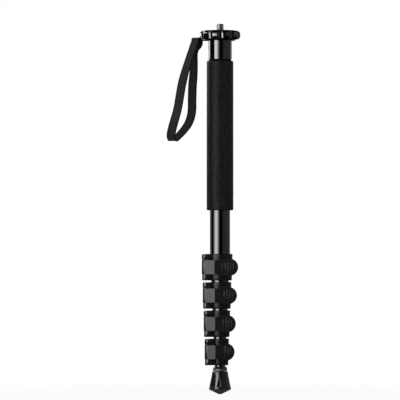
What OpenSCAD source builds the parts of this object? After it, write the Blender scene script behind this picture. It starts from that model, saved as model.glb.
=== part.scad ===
// Five-section camera monopod with flip locks, folded to its shortest length.
// Millimetres. The origin is on the axis, at the camera seat: +Z runs up the stud, the front faces -Y.

/* [Tubes] */
// Outside diameter of the widest tube, inside the grip
tube_d = 25; // [22:0.5:30]
// Difference in diameter from each tube to the next one
tube_step = 3; // [2.7:0.1:3.6]
// Wall thickness of every tube
tube_wall = 1; // [0.8:0.1:1.1]
// Radial clearance between pieces that slide on each other
slide_gap = 0.06; // [0.02:0.01:0.1]
// Depth of each tube's end in its lock collar
tube_seat = 6; // [5:0.5:7]
// Step down from the top of one inner tube to the top of the next
top_step = 3; // [2:0.5:6]
// Length of the bush on each inner tube's top
bush_len = 20; // [12:1:30]
// Thickness of the bush's rim over the tube end
bush_rim = 1; // [0.6:0.1:2]

/* [Head] */
// Diameter of the stud's thread
stud_d = 9.525; // [6.35:3.175:9.525]
// Height of the stud above the camera seat
stud_h = 8; // [5:0.5:10]
// Diameter of the mounting wheel
wheel_d = 50.8; // [46:0.2:58]
// Height of the mounting wheel
wheel_h = 11.4; // [10:0.2:13]
// Radius of the wheel's upper edge
wheel_top_round = 4.5; // [2:0.1:5]
// Radius of the wheel's lower edge
wheel_low_round = 4.4; // [2:0.1:5]
// Number of finger scallops round the wheel
scallops = 11; // [8:1:12]
// Radius of each scallop
scallop_r = 5; // [4:0.1:7]
// Depth of each scallop
scallop_depth = 2.2; // [1:0.1:3]
// Turn of the first scallop from the front
scallop_turn = 2; // [0:1:36]
// Diameter of the soft pad on the seat
pad_d = 37; // [30:0.5:40]
// Thickness of the soft pad
pad_t = 1.2; // [0.8:0.1:2]
// Rise of the soft pad above the wheel's top
seat_rise = 0.55; // [0.1:0.05:0.7]
// Diameter of the neck sleeve
neck_d = 29.4; // [28:0.1:31]
// Length of the neck sleeve below its flange
neck_len = 23; // [20:0.1:40]
// Diameter of the neck's flange
flange_d = 38; // [36:0.5:45]
// Thickness of the neck's flange
flange_h = 1.2; // [1.2:0.1:4]
// Height of the lug that holds the strap bar
lug_h = 3.2; // [3:0.1:4]
// Width of the lug
lug_w = 6; // [5:0.1:8]
// Length of the lug along the bar
lug_len = 2.6; // [2.5:0.1:5]
// Clearance of the lug from the wheel's rim
lug_gap = 0.4; // [0.3:0.1:1]
// Thickness of the thrust washer
washer_t = 0.8; // [0.5:0.1:1.2]
// Diameter of the stud's shank inside the neck
shank_d = 7; // [6:0.5:8]
// Height of the nut on the shank
nut_h = 5; // [4:0.5:7]

/* [Grip] */
// Diameter of the foam grip
foam_d = 33; // [30:0.2:40]
// Length of the foam grip
foam_len = 187; // [150:1:220]
// Radius of the foam's end edges
foam_round = 1.6; // [0.5:0.1:2.5]
// Height of the trim ring above the foam
trim_h = 2.1; // [1:0.1:4]
// Diameter of the trim ring
trim_d = 28; // [27:0.1:28.4]
// Length of bare tube between the foam and the first lock
bare_len = 54.4; // [40:0.2:80]

/* [Locks] */
// Height of each lock
lock_h = 33.3; // [31:0.1:38]
// Space between two locks when folded
lock_gap = 2; // [1:0.1:6]
// Wall of the collar round its tube
lock_wall = 3.2; // [2.8:0.1:4]
// Drop in the collar's radius from top to bottom
lock_taper = 0.9; // [0:0.1:1]
// Height of the collar's band above and below the lever
band_h = 7.2; // [6.5:0.1:8]
// Edge chamfer of the collar
lock_edge = 0.7; // [0.3:0.1:1]
// Turn of the hinge from the front, to the left
hinge_turn = 52; // [48:1:56]
// Reach of the hinge beyond the collar's wall
hinge_reach = 7.4; // [7:0.1:9]
// Radius of the hinge ears and of the lever's knuckle
ear_r = 4.6; // [4.2:0.1:5]
// Drop of the ears' end faces from the collar's
ear_drop = 0.2; // [0.1:0.1:1]
// Diameter of the hinge pin
pin_d = 3; // [2.5:0.1:4]
// Throw of the cam
cam_throw = 0.4; // [0.2:0.05:0.6]
// Width of the brake shoe
shoe_w = 8; // [6:0.5:8.5]
// Height of the brake shoe
shoe_h = 11; // [8:0.5:13]

/* [Levers] */
// Thickness of the lever's thumb pad
lever_t = 2.6; // [2:0.1:3.5]
// Clearance of the lever's arm from the bands above and below it
lever_side = 0.8; // [0.3:0.1:1]
// Clearance of the lever from the collar's wall
lever_gap = 0.6; // [0.4:0.1:1.2]
// Turn of the lever's flat face from the front, to the left
face_turn = 15; // [10:1:18]
// Turn of the ridge where the flat face ends
ridge_turn = 17.7; // [15:0.1:20]
// Turn where the thumb pad leaves the collar, to the right
pad_turn = 35; // [30:1:40]
// Reach of the thumb pad's tip beyond the collar's wall
pad_reach = 7; // [5:0.1:10]
// Height of the thumb pad
thumb_h = 21.6; // [20:0.1:26]
// Number of ribs on the thumb pad
ribs = 5; // [3:1:6]
// Distance between ribs
rib_pitch = 4; // [3:0.1:4.4]
// Radius of each rib
rib_r = 0.8; // [0.5:0.1:1]

/* [Foot] */
// Bare length of the last tube below the last lock
foot_gap = 1.8; // [1:0.1:10]
// Height of the ferrule's cone
ferrule_h = 2.7; // [2:0.1:6]
// Diameter of the ferrule's lower edge
ferrule_d = 18.2; // [16:0.1:20]
// Wall of the ferrule round the tube, at its upper edge
ferrule_wall = 1.3; // [0.3:0.1:2]
// Length of the ferrule's plug in the tube
plug_len = 18; // [12:1:40]
// Height of the bright ring
ring_h = 2.8; // [2:0.1:5]
// Diameter of the bright ring
ring_d = 18; // [16:0.1:20]
// Diameter of the spike's body
spike_d = 11; // [9:0.1:12]
// Length of the spike below the ring
spike_len = 22; // [18:0.5:24]
// Diameter of the rubber foot's top
foot_top_d = 19.8; // [18:0.1:22]
// Diameter of the rubber foot's rim
foot_d = 27.6; // [25:0.1:32]
// Height of the rubber foot from its top to its rim
foot_h = 22.6; // [20:0.1:26]
// Height of the cone under the rim
foot_cone = 6; // [4.5:0.1:8]
// Number of triangular hollows round the foot
hollows = 6; // [4:1:7]
// Width of each hollow at its base
hollow_w = 8.4; // [5:0.1:9]
// Slope of each hollow's floor
hollow_slope = 25; // [10:1:35]

/* [Strap] */
// Width of the webbing
strap_w = 10.5; // [8:0.1:12]
// Thickness of the webbing
strap_t = 1.4; // [1:0.1:1.8]
// Length of the hanging loop, as a share of the usual one
strap_drop = 1; // [0.8:0.05:1.3]
// Depth of the loop from front to back, as a share of the usual one
strap_depth = 1; // [0.7:0.05:1.3]
// Turn of the strap bar from the left side towards the back
bar_turn = 30; // [20:1:40]
// Rise of the strap bar above the neck's upper face
bar_rise = 0.6; // [-0.6:0.1:0.8]
// Diameter of the strap bar
bar_d = 2.4; // [2:0.1:2.8]
// Clearance between the bar and the webbing
bar_gap = 0.3; // [0.2:0.05:0.4]
// Rise of the bar's end stop above the bar
bar_stop = 0.35; // [0.2:0.05:0.6]
// Clearance of the webbing's edges from the end stop and from the lug
stop_gap = 0.6; // [0.3:0.05:0.8]

/* [Hidden] */
$fn = 96;
fit = 0.02;
turn_gap = 0.3;
pin_gap = 0.06;
sections = 5;

flange_z = -wheel_h - turn_gap;
neck_z = flange_z - flange_h;
neck_end = neck_z - neck_len;
plate_z = neck_z - 3.2;
foam_z = neck_end - trim_h;
foam_end = foam_z - foam_len;
lock_z = foam_end - bare_len;
nut_z = plate_z - turn_gap;
inner_z = nut_z - nut_h - 3;
lever_h = lock_h - 2 * band_h - 2 * lever_side;
ferrule_z = lock_z - 4 * lock_h - 3 * lock_gap - foot_gap;
ring_z = ferrule_z - ferrule_h;
spike_z = ring_z - ring_h;
foot_z = spike_z - 0.4;
rim_z = foot_z - foot_h;
foot_tip = rim_z - foot_cone;
flank_top = foot_z - 4;
flank_low = rim_z + 2;
hollow_top = foot_z - 6.1;
hollow_low = rim_z + 2.8;
bar_z = flange_z + bar_rise;
bar_r = bar_d / 2;
fold_r = bar_r + bar_gap + strap_t / 2;
fold_q = fold_r * sqrt(0.5);
lug_far = wheel_d / 2 + lug_gap + lug_len;
strap_far = lug_far + stop_gap + strap_w / 2;
stop_far = strap_far + strap_w / 2 + stop_gap;
bar_at = strap_far * [-cos(bar_turn), sin(bar_turn)];

function tube_r(k) = (tube_d - (k - 1) * tube_step) / 2;
function bore_r(k) = tube_r(k) - tube_wall;
function lock_top(k) = lock_z - (k - 1) * (lock_h + lock_gap);
function lock_low(k) = lock_top(k) - lock_h;
function lock_mid(k) = lock_top(k) - lock_h / 2;
function lock_r(k) = tube_r(k) + lock_wall;
function hinge_far(k) = lock_r(k) + hinge_reach;
function hinge_at(k) = hinge_far(k) * [-sin(hinge_turn), -cos(hinge_turn)];
function tube_head(k) = k == 1 ? plate_z - fit : inner_z - (k - 2) * top_step;
function flank_r(z) = foot_top_d / 2 + 0.3
  + (foot_d - foot_top_d - 1.2) / 2 * (flank_top - z) / (flank_top - flank_low);
function tube_end(k) = k < sections ? lock_top(k) - tube_seat : ring_z + 0.8;

function unit(v) = v / norm(v);
function polar(r, a) = r * [sin(a), -cos(a)];
function between(a, b, n) = [for (i = [0:n]) a + (b - a) * i / n];

// Plan of a lever: flat face, ridge, run-on to the collar's curve, thumb pad and back again
function face_far(k) = hinge_at(k) * [-sin(face_turn), -cos(face_turn)] + ear_r;
function ridge_far(k) = face_far(k) / cos(ridge_turn - face_turn);
function pad_r(k) = lock_r(k) + lever_gap + lever_t;
function run_turn(k) = acos(pad_r(k) / ridge_far(k)) - ridge_turn;
function pad_len(k) = (lock_r(k) + pad_reach - pad_r(k) * sin(pad_turn)) / cos(pad_turn);
function pad_tip(k) = polar(pad_r(k), pad_turn) + pad_len(k) * [cos(pad_turn), sin(pad_turn)];
function lever_plan(k) = concat(
  [hinge_at(k) + polar(ear_r, -face_turn), polar(ridge_far(k), -ridge_turn)],
  [for (a = between(run_turn(k), pad_turn, 5)) polar(pad_r(k), a)],
  [pad_tip(k), pad_tip(k) - polar(lever_t, pad_turn)],
  [for (a = between(pad_turn, -20, 11)) polar(pad_r(k) - lever_t, a)],
  [hinge_at(k) + [0.76 * ear_r, -0.5 * ear_r], hinge_at(k)]
);

// Centre line of the strap from the bar: front leg down, turn at the bottom, back leg up and over the bar
function folded(v, z) = [-v * sin(bar_turn), -v * cos(bar_turn), z];
strap_hand = [
  folded(0, fold_r),
  folded(fold_q, fold_q),
  folded(fold_r, 0),
  [-1.9, -2.3, -2.7],
  [-3.2, -2.7, -5.9],
  [-5.2, -3.2 * strap_depth, -12.2],
  [-10.3, -5.4 * strap_depth, -27.5],
  [-14.6, -9 * strap_depth, -42.5],
  [-18.2, -13 * strap_depth, -57.5],
  [-20.7, -16 * strap_depth, -72.5],
  [-23.5, -17.5 * strap_depth, -88],
  [-27.4, -16.5 * strap_depth, -102],
  [-30.1, -13 * strap_depth, -112],
  [-31.7, -7.6 * strap_depth, -121],
  [-29.2, 0, -126.4],
  [-22.6, 6 * strap_depth, -120.8],
  [-15.6, 11.2 * strap_depth, -113],
  [-9.4, 15.4 * strap_depth, -103.6],
  [-5.7, 17.5 * strap_depth, -90.5],
  [-5.2, 16.4 * strap_depth, -73],
  [-4.7, 13.6 * strap_depth, -57.5],
  [-3.5, 10.2 * strap_depth, -42.5],
  [-2.8, 7.6 * strap_depth, -28],
  [-2.8, 6.9 * strap_depth, -18.6],
  [-1.3, 7.3 * strap_depth, -12.4],
  [2.2, 7.3, -7.6],
  folded(-7.4, -3.4),
  folded(-5.3, 0.4),
  folded(-2.5, 1.95),
];
strap_steps = 3;

function looped(list, i) = list[(i + len(list)) % len(list)];
function curve(a, b, c, d, t) = b + t * (c - a) / 2
  + t * t * (2 * a - 5 * b + 4 * c - d) / 2
  + t * t * t * (3 * b - a - 3 * c + d) / 2;
function dropped(p) = [bar_at.x + p.x, bar_at.y + p.y, bar_z + (p.z < 0 ? p.z * strap_drop : p.z)];
strap_line = [
  for (i = [0:len(strap_hand) - 1])
    for (s = [0:strap_steps - 1])
      dropped(curve(
        looped(strap_hand, i - 1),
        looped(strap_hand, i),
        looped(strap_hand, i + 1),
        looped(strap_hand, i + 2),
        s / strap_steps
      ))
];
function along(i) = unit(looped(strap_line, i + 1) - looped(strap_line, i - 1));
// The webbing lies along the bar at the top and turns to face the front on its way down
function webbing_turn(z) = bar_turn * max(0.35, min(1, 1 + (z - bar_z + 27) / 40));
function sideways(z) = [cos(webbing_turn(z)), -sin(webbing_turn(z)), 0];
function across(t, s) = unit(s - (s * t) * t);
function strap_ring(i) = let (c = strap_line[i], t = along(i), w = across(t, sideways(c.z)), n = cross(t, w))
  [for (q = [[-1, -1], [1, -1], [1, 1], [-1, 1]]) c + q.x * w * strap_w / 2 + q.y * n * strap_t / 2];

black = [0.06, 0.06, 0.065];
gloss = [0.03, 0.03, 0.035];
steel = [0.75, 0.76, 0.78];
plastic = [0.2, 0.2, 0.21];

module span(r, top, low) {
  translate([0, 0, low])
    cylinder(r = r, h = top - low);
}

module sleeve(outer, inner, top, low) {
  difference() {
    span(outer, top, low);
    span(inner, top + 1, low - 1);
  }
}

// Something at the hinge's turn, drawn as if the hinge were straight in front
module at_hinge_turn() {
  rotate([0, 0, -hinge_turn])
    children();
}

// Something at the strap bar's turn, drawn as if the bar ran straight out to the left
module at_bar_turn() {
  rotate([0, 0, -bar_turn])
    children();
}

module camera_stud() {
  color(steel)
    union() {
      span(stud_d / 2, stud_h - 0.8, 0);
      span(stud_d / 2 - 0.4, 0.1, -pad_t - fit);
      translate([0, 0, stud_h - 0.8])
        cylinder(r1 = stud_d / 2, r2 = stud_d / 2 - 0.8, h = 0.8);
      span(7, -pad_t - fit, -pad_t - 3);
      span(shank_d / 2, -pad_t - 3, nut_z - nut_h - 1);
    }
}

module top_pad() {
  color([0.1, 0.1, 0.1])
    sleeve(pad_d / 2, stud_d / 2 + 0.3, 0, -pad_t);
}

module wheel_body() {
  r = wheel_d / 2;
  top = -seat_rise;
  rotate_extrude()
    union() {
      translate([0, -wheel_h])
        square([r - wheel_low_round, wheel_h + top]);
      translate([0, -wheel_h + wheel_low_round])
        square([r, wheel_h + top - wheel_low_round - wheel_top_round]);
      translate([0, -wheel_h])
        square([r - wheel_top_round, wheel_h + top]);
      translate([r - wheel_top_round, top - wheel_top_round])
        circle(r = wheel_top_round);
      translate([r - wheel_low_round, -wheel_h + wheel_low_round])
        circle(r = wheel_low_round);
    }
}

module mount_wheel() {
  color(gloss)
    difference() {
      intersection() {
        wheel_body();
        span(wheel_d / 2 + 1, 1, -wheel_h - 1);
      }
      span(pad_d / 2 + fit, 1, -pad_t);
      span(7 + fit, 1, -pad_t - 3);
      span(shank_d / 2 + fit, 1, -wheel_h - 1);
      for (i = [0:scallops - 1])
        rotate([0, 0, scallop_turn + i * 360 / scallops])
          translate([0, -wheel_d / 2 - scallop_r + scallop_depth, -wheel_h - 1])
            cylinder(r = scallop_r, h = wheel_h + 2);
    }
}

module thrust_washer() {
  color([0.85, 0.85, 0.8])
    sleeve(12, shank_d / 2 + 0.4, flange_z + turn_gap - 0.05, flange_z + turn_gap - 0.05 - washer_t);
}

module stud_nut() {
  color(steel)
    difference() {
      span(6.2, nut_z, nut_z - nut_h);
      for (i = [0:5])
        rotate([0, 0, 60 * i])
          translate([-10, -15.5, nut_z - nut_h - 1])
            cube([20, 10, nut_h + 2]);
      span(shank_d / 2 + fit, nut_z + 1, nut_z - nut_h - 1);
    }
}

module neck_sleeve() {
  color(gloss)
    difference() {
      union() {
        span(neck_d / 2, neck_z + 0.1, neck_end);
        translate([0, 0, neck_z])
          cylinder(r1 = flange_d / 2 - 0.4, r2 = flange_d / 2, h = flange_h);
        at_bar_turn() {
          translate([-lug_far, -lug_w / 2, bar_z - lug_h / 2])
            cube([lug_len, lug_w, lug_h]);
          translate([-lug_far, -lug_w / 2, neck_z])
            cube([lug_far - 10, lug_w, flange_h]);
        }
      }
      span(tube_r(1) + fit, plate_z, neck_end - 1);
      span(shank_d / 2 + pin_gap, 10, plate_z - 1);
      span(12 + fit, 10, flange_z + turn_gap - 0.05 - washer_t);
      at_bar_turn()
        translate([-lug_far - 1, 0, bar_z])
          rotate([0, 90, 0])
            cylinder(r = bar_r + fit, h = lug_len + 0.4);
    }
}

module trim_ring() {
  color(black)
    sleeve(trim_d / 2, tube_r(1) + fit, neck_end, foam_z);
}

module strap_bar() {
  color(gloss)
    at_bar_turn()
      translate([-stop_far, 0, bar_z])
        rotate([0, 90, 0])
          union() {
            translate([0, 0, -0.3])
              cylinder(r = bar_r, h = stop_far - lug_far + lug_len - 0.4);
            translate([0, 0, -0.6])
              cylinder(r = bar_r + bar_stop, h = 0.6);
          }
}

module wrist_strap() {
  n = len(strap_line);
  color([0.07, 0.07, 0.07])
    polyhedron(
      points = [for (i = [0:n - 1]) each strap_ring(i)],
      faces = [
        for (i = [0:n - 1])
          for (j = [0:3])
            let (here = 4 * i, next = 4 * ((i + 1) % n), k = (j + 1) % 4)
              each [[here + j, here + k, next + k], [here + j, next + k, next + j]]
      ]
    );
}

module foam_grip() {
  color([0.09, 0.09, 0.09])
    rotate_extrude()
      difference() {
        union() {
          translate([0, foam_end + foam_round])
            square([foam_d / 2, foam_len - 2 * foam_round]);
          translate([0, foam_end])
            square([foam_d / 2 - foam_round, foam_len]);
          for (z = [foam_z - foam_round, foam_end + foam_round])
            translate([foam_d / 2 - foam_round, z])
              circle(r = foam_round);
        }
        translate([-1, foam_end - 1])
          square([tube_r(1) + fit + 1, foam_len + 2]);
      }
}

module tube(k) {
  color(gloss)
    sleeve(tube_r(k), bore_r(k), tube_head(k), tube_end(k));
}

module bush(k) {
  color(plastic)
    difference() {
      span(bore_r(k - 1) - slide_gap, tube_head(k) + bush_rim, tube_head(k) - bush_len);
      span(tube_r(k) + fit, tube_head(k), tube_head(k) - bush_len - 1);
      span(bore_r(k) + 0.2, tube_head(k) + bush_rim + 1, tube_head(k) - 1);
    }
}

module ear(k, top) {
  c = lock_edge;
  r = top ? ear_r : ear_r - lock_taper / 2;
  h = band_h - ear_drop;
  z = top ? lock_top(k) - band_h : lock_low(k) + ear_drop;
  at_hinge_turn() {
    translate([0, 0, z])
      rotate([90, 0, 0])
        linear_extrude(height = hinge_far(k))
          polygon(top
            ? [[-r, 0], [r, 0], [r, h - c], [r - c, h], [c - r, h], [-r, h - c]]
            : [[-r, c], [c - r, 0], [r - c, 0], [r, c], [r, h], [-r, h]]);
    translate([0, -hinge_far(k), z])
      rotate_extrude()
        polygon(top
          ? [[0, 0], [r, 0], [r, h - c], [r - c, h], [0, h]]
          : [[0, 0], [r - c, 0], [r, c], [r, h], [0, h]]);
  }
}

module collar(k) {
  r = lock_r(k);
  low = r - lock_taper;
  color(black)
    difference() {
      union() {
        rotate_extrude()
          polygon([
            [0, lock_top(k)],
            [r - lock_edge, lock_top(k)],
            [r, lock_top(k) - lock_edge],
            [low, lock_low(k) + lock_edge],
            [low - lock_edge, lock_low(k)],
            [0, lock_low(k)],
          ]);
        ear(k, true);
        ear(k, false);
      }
      span(tube_r(k) + fit, lock_top(k) + 1, lock_low(k) + 1.2);
      span(tube_r(k + 1) + 0.3, lock_top(k), lock_low(k) - 1);
      at_hinge_turn() {
        translate([-shoe_w / 2 - 0.15, -hinge_far(k), lock_mid(k) - shoe_h / 2 - 0.15])
          cube([shoe_w + 0.3, hinge_far(k), shoe_h + 0.3]);
        translate([0, -hinge_far(k), 0])
          span(pin_d / 2 + fit, lock_top(k) - 1, lock_low(k) + 1);
      }
    }
}

module liner(k) {
  color(plastic)
    difference() {
      span(tube_r(k), tube_end(k) - fit, lock_low(k) + 1.2 + fit);
      span(tube_r(k + 1) + slide_gap, tube_end(k) + 1, lock_low(k));
      at_hinge_turn()
        translate([-shoe_w / 2 - 0.15, -hinge_far(k), lock_mid(k) - shoe_h / 2 - 0.15])
          cube([shoe_w + 0.3, hinge_far(k), shoe_h + 0.3]);
    }
}

// Outline of a lever seen from the front: arm at the left, tall rounded thumb pad at the right
module lever_front(k) {
  r = thumb_h / 2;
  left = polar(ridge_far(k), -ridge_turn).x + r;
  right = lock_r(k) + pad_reach - r;
  translate([-60, -60, lock_mid(k) - lever_h / 2])
    cube([60 + left, 120, lever_h]);
  translate([left, -60, lock_mid(k) - r])
    cube([right - left, 120, thumb_h]);
  for (x = [left, right])
    translate([x, 0, lock_mid(k)])
      rotate([90, 0, 0])
        cylinder(r = r, h = 120, center = true);
}

// Ribs keep their pitch along the pad's face, from its straight end back round the curve
module lever_ribs(k) {
  start = pad_len(k) * 0.51;
  for (i = [0:ribs - 1]) {
    run = start - i * rib_pitch;
    on_pad = run >= 0;
    turn = on_pad ? pad_turn : pad_turn + run / pad_r(k) * 180 / PI;
    base = on_pad ? polar(pad_r(k), pad_turn) + run * [cos(pad_turn), sin(pad_turn)] : polar(pad_r(k), turn);
    tall = thumb_h * (0.69 - 0.13 * abs(i - 2));
    at = base - polar(rib_r * 0.35, turn);
    translate([at.x, at.y, lock_mid(k) - tall / 2])
      cylinder(r = rib_r, h = tall);
  }
}

module lever(k) {
  h = hinge_at(k);
  cam = cam_throw * [sin(hinge_turn), cos(hinge_turn)];
  color(black)
    difference() {
      union() {
        intersection() {
          translate([0, 0, lock_mid(k) - thumb_h / 2 - 1])
            linear_extrude(height = thumb_h + 2)
              polygon(lever_plan(k));
          lever_front(k);
        }
        for (c = [[0, 0], cam])
          translate([h.x + c.x, h.y + c.y, lock_mid(k) - lever_h / 2])
            cylinder(r = ear_r, h = lever_h);
        lever_ribs(k);
      }
      translate([h.x, h.y, lock_low(k)])
        cylinder(r = pin_d / 2 + pin_gap, h = lock_h);
    }
}

module pin(k) {
  color(steel)
    at_hinge_turn()
      translate([0, -hinge_far(k), 0])
        span(pin_d / 2, lock_top(k) - 1, lock_low(k) + 1);
}

module shoe(k) {
  far = hinge_far(k) - ear_r - cam_throw - 0.1;
  near = tube_r(k + 1) - 2;
  color(plastic)
    difference() {
      at_hinge_turn()
        translate([-shoe_w / 2, -far, lock_mid(k) - shoe_h / 2])
          cube([shoe_w, far - near, shoe_h]);
      span(tube_r(k + 1) + slide_gap, lock_top(k), lock_low(k));
    }
}

module foot_ferrule() {
  r = tube_r(sections);
  color(gloss)
    difference() {
      union() {
        translate([0, 0, ring_z])
          cylinder(r1 = ferrule_d / 2, r2 = r + ferrule_wall, h = ferrule_h);
        span(bore_r(sections) - fit, ring_z + plug_len, ring_z);
      }
      difference() {
        span(r + fit, ring_z + plug_len + 1, tube_end(sections) - fit);
        span(bore_r(sections) - fit, ring_z + plug_len + 1, ring_z - 1);
      }
      span(3 + fit, ring_z + 10, ring_z - 1);
    }
}

module foot_ring() {
  color(steel)
    difference() {
      union() {
        translate([0, 0, ring_z - 0.4])
          cylinder(r1 = ring_d / 2, r2 = ring_d / 2 - 0.4, h = 0.4);
        span(ring_d / 2, ring_z - 0.4, spike_z + 0.4);
        translate([0, 0, spike_z])
          cylinder(r1 = ring_d / 2 - 0.4, r2 = ring_d / 2, h = 0.4);
      }
      span(3 + fit, ring_z + 1, spike_z - 1);
    }
}

module spike() {
  color(steel)
    union() {
      span(3, ring_z + 9, spike_z);
      span(spike_d / 2, spike_z, spike_z - 6);
      translate([0, 0, spike_z - 7])
        cylinder(r1 = spike_d / 2 - 1, r2 = spike_d / 2, h = 1);
      translate([0, 0, spike_z - spike_len])
        cylinder(r1 = 0.6, r2 = spike_d / 2 - 1, h = spike_len - 7);
    }
}

// A tapered hollow in the foot's flank: its sides meet at the top, its floor slopes down to the flank
module foot_hollow() {
  top = [flank_r(hollow_top), hollow_top];
  low = [flank_r(hollow_low), hollow_low];
  run = norm(top - low);
  lean = atan((low.x - top.x) / (top.y - low.y));
  more = 0.3;
  intersection() {
    translate([0, -low.x, low.y])
      rotate([-lean, 0, 0])
        translate([0, 0, -run * more])
          cylinder(r1 = hollow_w / 2 * (1 + more), r2 = 0.1, h = run * (1 + more));
    translate([0, -low.x, low.y])
      rotate([hollow_slope, 0, 0])
        translate([-hollow_w, -hollow_w, 0])
          cube([2 * hollow_w, 3 * hollow_w, 2 * run]);
  }
}

module rubber_foot() {
  gap = 0.25;
  edge = 1.4;
  color([0.05, 0.05, 0.05])
    difference() {
      rotate_extrude()
        polygon([
          [0, foot_z],
          [foot_top_d / 2 - 0.5, foot_z],
          [foot_top_d / 2, foot_z - 0.5],
          [flank_r(flank_top), flank_top],
          [flank_r(flank_low), flank_low],
          [foot_d / 2, rim_z + 0.8],
          [foot_d / 2 - 0.2, rim_z],
          [foot_d / 2 - edge, rim_z - 0.9],
          [2, foot_tip + 0.3],
          [0, foot_tip],
        ]);
      span(spike_d / 2 + 0.06, foot_z + 1, spike_z - 6.2);
      translate([0, 0, spike_z - 7.5])
        cylinder(r1 = spike_d / 2 - 1 + gap, r2 = spike_d / 2 + 0.06, h = 1.32);
      translate([0, 0, spike_z - spike_len - 1])
        cylinder(r1 = 0.6 + gap, r2 = spike_d / 2 - 1 + gap, h = spike_len - 6.48);
      for (i = [0:hollows - 1])
        rotate([0, 0, i * 360 / hollows - 2])
          foot_hollow();
    }
}

module tube_1() tube(1);
module tube_2() tube(2);
module tube_3() tube(3);
module tube_4() tube(4);
module tube_5() tube(5);
module bush_2() bush(2);
module bush_3() bush(3);
module bush_4() bush(4);
module bush_5() bush(5);
module collar_1() collar(1);
module collar_2() collar(2);
module collar_3() collar(3);
module collar_4() collar(4);
module liner_1() liner(1);
module liner_2() liner(2);
module liner_3() liner(3);
module liner_4() liner(4);
module lever_1() lever(1);
module lever_2() lever(2);
module lever_3() lever(3);
module lever_4() lever(4);
module pin_1() pin(1);
module pin_2() pin(2);
module pin_3() pin(3);
module pin_4() pin(4);
module shoe_1() shoe(1);
module shoe_2() shoe(2);
module shoe_3() shoe(3);
module shoe_4() shoe(4);

camera_stud();
top_pad();
mount_wheel();
thrust_washer();
stud_nut();
neck_sleeve();
trim_ring();
strap_bar();
wrist_strap();
foam_grip();
tube_1();
tube_2();
tube_3();
tube_4();
tube_5();
bush_2();
bush_3();
bush_4();
bush_5();
collar_1();
collar_2();
collar_3();
collar_4();
liner_1();
liner_2();
liner_3();
liner_4();
lever_1();
lever_2();
lever_3();
lever_4();
pin_1();
pin_2();
pin_3();
pin_4();
shoe_1();
shoe_2();
shoe_3();
shoe_4();
foot_ferrule();
foot_ring();
spike();
rubber_foot();
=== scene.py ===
import math
import bpy
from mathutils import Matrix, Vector, noise


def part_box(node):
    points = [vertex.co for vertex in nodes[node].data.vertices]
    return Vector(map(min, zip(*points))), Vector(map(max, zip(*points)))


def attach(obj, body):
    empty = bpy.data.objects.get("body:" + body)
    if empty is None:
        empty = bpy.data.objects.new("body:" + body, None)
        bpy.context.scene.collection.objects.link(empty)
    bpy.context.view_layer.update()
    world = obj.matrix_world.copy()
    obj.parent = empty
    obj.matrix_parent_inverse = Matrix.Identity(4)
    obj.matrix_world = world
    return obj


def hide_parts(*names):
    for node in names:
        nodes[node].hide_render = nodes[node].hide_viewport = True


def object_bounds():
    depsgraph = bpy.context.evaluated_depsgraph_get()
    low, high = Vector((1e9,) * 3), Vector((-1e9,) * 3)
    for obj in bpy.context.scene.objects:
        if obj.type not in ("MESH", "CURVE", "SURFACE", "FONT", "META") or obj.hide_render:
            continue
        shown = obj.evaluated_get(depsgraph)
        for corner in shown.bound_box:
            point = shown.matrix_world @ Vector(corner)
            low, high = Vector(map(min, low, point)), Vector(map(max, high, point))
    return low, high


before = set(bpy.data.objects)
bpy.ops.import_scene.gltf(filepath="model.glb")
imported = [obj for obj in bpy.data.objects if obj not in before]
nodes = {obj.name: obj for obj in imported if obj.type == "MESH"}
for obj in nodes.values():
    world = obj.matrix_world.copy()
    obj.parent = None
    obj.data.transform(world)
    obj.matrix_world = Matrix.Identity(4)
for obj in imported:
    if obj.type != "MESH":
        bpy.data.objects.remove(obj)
cadLow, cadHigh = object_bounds()
scene = bpy.context.scene
locks = (1, 2, 3, 4)
print("frame loaded:", len(nodes), "nodes")

view = {
    "aim": (-0.0250, 0.0, -0.2121),
    "height": -0.27,  # the lens is level with the first lock, and far off
    "distance": 7.0,
    "frameWidth": 0.5,  # what the picture spans at the pole's axis
    "sensor": 36,
    "clip": (0.05, 50),
}


def setCamera():
    aim = Vector(view["aim"])
    eye = Vector((aim.x, -view["distance"], view["height"]))
    data = bpy.data.cameras.new("camera")
    data.sensor_width = view["sensor"]
    data.lens = view["sensor"] * (aim - eye).length / view["frameWidth"]
    data.clip_start, data.clip_end = view["clip"]
    camera = bpy.data.objects.new("camera", data)
    camera.location = eye
    camera.rotation_mode = "QUATERNION"
    camera.rotation_quaternion = (aim - eye).to_track_quat("-Z", "Y")
    scene.collection.objects.link(camera)
    scene.camera = camera


setCamera()
scene.view_settings.view_transform = "Standard"
print("camera set")


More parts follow.
